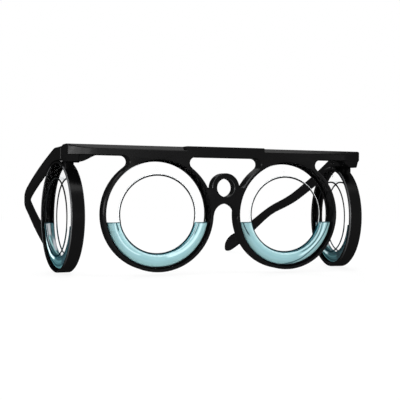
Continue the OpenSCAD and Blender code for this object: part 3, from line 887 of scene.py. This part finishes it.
# painted shade: the dark line under the liquid, along the ring's outer side
outlineShape = {
    "Outer Radius": 0.0269,
    "Front": -0.0012,
    "Back": -0.0002,
    "Corner": 0.0002,
    "Meniscus": 0.0,
    "Sections": 64,
}
outlineInner = {"front": 0.02628, "side": 0.02644}
ringNames = {
    "front_left": "FrontLeft",
    "front_right": "FrontRight",
    "side_left": "SideLeft",
    "side_right": "SideRight",
}
for key, tail in ringNames.items():
    kind, tube = key.split("_")[0], "tube_" + key
    liquidNode = nodes["liquid_" + key]
    liquid = sweptPiece(
        "liquid" + tail, levelBand, tube, liquidShape, key, liquidNode["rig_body"]
    )
    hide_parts("liquid_" + key)
    # painted shade lines round the ring, and on a front ring a painted highlight line beside them
    for number, depth in enumerate(shadeLineDepths[kind], 1):
        seam = dict(shadeLineShape, Depth=depth)
        sweptPiece("seam" + tail + str(number), seamLine, tube, seam, "paintedEdgeShade", "front")
    if kind == "front":
        glint = dict(glintShape, Depth=shadeLineDepths[kind][0])
        sweptPiece("glint" + tail, seamLine, tube, glint, "edgeGlint", "front")
    # painted shade: a dark line under the liquid, along the ring's outer side
    outline = {**outlineShape, "Inner Radius": outlineInner[kind]}
    sweptPiece("outline" + tail, levelBand, tube, outline, "paintedEdgeShade", "front")
    print("ring", key, "has its liquid and lines,", len(liquid.data.polygons), "faces in the liquid")

# studio: a pale floor, a white surround and soft lamps; the floor takes shadow near the object, as far as
# floorReachM, and glows white beyond
studio = {
    "ambient": 0.26,
    "floorSize": 30.0,
    "floorDropM": 0.0002,
    "floorColour": (0.86, 0.86, 0.86, 1),
    "floorRoughness": 0.9,
    "floorSpecular": 0.1,
    "floorShare": 0.12,
    "floorReachM": 0.7,
    "floorRise": 0.6,
    "aim": (0, 0, 0.03),
    "lamps": {
        "keyLamp": {"place": (-0.96, -0.78, 0.08), "size": 0.5, "radiance": 13.5},
        "sideKeyLamp": {"place": (-1.25, -0.5, 0.12), "size": 0.6, "radiance": 14.0},
        "upperLeftLamp": {"place": (-0.75, -0.2, 1.0), "size": 0.5, "radiance": 7.8},
        "bendLamp": {"place": (-0.56, -1.16, 0.06), "size": 0.62, "radiance": 11.5},
        "frontLamp": {"place": (0.0, -1.3, 0.05), "size": 0.56, "radiance": 4.6},
        "highLamp": {"place": (0.3, -0.5, 1.15), "size": 0.46, "radiance": 5.8},
        "upperLamp": {"place": (0.05, -0.1, 1.25), "size": 0.5, "radiance": 5.2},
        "rightLamp": {"place": (0.74, -1.1, 0.08), "size": 0.24, "radiance": 2.6},
        "backLamp": {"place": (0.3, 0.85, 0.5), "size": 0.6, "radiance": 11.0},
    },
}
white = (1, 1, 1, 1)


def whiteForSight(tree, plain, bright):
    path = addNode(tree, "ShaderNodeLightPath").outputs
    seen = maths(tree, "MAXIMUM", path["Is Camera Ray"], path["Is Glossy Ray"])
    return mixed(tree, maths(tree, "MAXIMUM", seen, path["Is Transmission Ray"]), plain, bright)


def makeWorld(setup):
    world = bpy.data.worlds.new("studioWorld")
    world.use_nodes = True
    bpy.context.scene.world = world
    tree = world.node_tree
    plain = tree.nodes["Background"]
    setInputs(tree, plain, {"Color": white, "Strength": setup["ambient"]})
    bright = addNode(tree, "ShaderNodeBackground", {"Color": white, "Strength": 1.0})
    surface = whiteForSight(tree, plain.outputs[0], bright.outputs[0])
    setInputs(tree, tree.nodes["World Output"], {"Surface": surface})


def makeFloorPaper(setup):
    material, tree, skin, output = startMaterial("floorPaper")
    setInputs(tree, skin, {
        "Base Color": setup["floorColour"],
        "Roughness": setup["floorRoughness"],
        "Specular IOR Level": setup["floorSpecular"],
    })
    glow = addNode(tree, "ShaderNodeEmission", {"Color": white, "Strength": 1.0}).outputs[0]
    spot = addNode(tree, "ShaderNodeTexCoord").outputs["Object"]
    shrunk = addNode(
        tree, "ShaderNodeVectorMath", {0: spot, "Scale": 1 / setup["floorReachM"]}, operation="SCALE"
    ).outputs[0]
    nearness = addNode(tree, "ShaderNodeTexGradient", {"Vector": shrunk}, gradient_type="SPHERICAL")
    share = smoothStep(tree, nearness.outputs["Fac"], 0.0, setup["floorRise"], setup["floorShare"])
    lit = mixed(tree, share, glow, skin.outputs[0])
    setInputs(tree, output, {"Surface": whiteForSight(tree, skin.outputs[0], lit)})
    return material


def makeFloor(setup):
    half = setup["floorSize"] / 2
    mesh = bpy.data.meshes.new("floor")
    corners = [(x, y, 0) for x, y in ((-half, -half), (half, -half), (half, half), (-half, half))]
    mesh.from_pydata(corners, [], [(0, 1, 2, 3)])
    mesh.materials.append(makeFloorPaper(setup))
    floor = bpy.data.objects.new("floor", mesh)
    floor.location.z = -setup["floorDropM"]
    bpy.context.scene.collection.objects.link(floor)


def makeLamp(name, lamp, aim):
    data = bpy.data.lights.new(name, "AREA")
    data.shape = "DISK"
    data.size = lamp["size"]
    data.energy = lamp["radiance"] * math.pi * math.pi * (lamp["size"] / 2) ** 2
    body = bpy.data.objects.new(name, data)
    body.location = lamp["place"]
    body.rotation_euler = (Vector(aim) - Vector(lamp["place"])).to_track_quat("-Z", "Y").to_euler()
    bpy.context.scene.collection.objects.link(body)


makeWorld(studio)
makeFloor(studio)
for lampName, lamp in studio["lamps"].items():
    makeLamp(lampName, lamp, studio["aim"])
print("studio lit by", len(studio["lamps"]), "lamps")
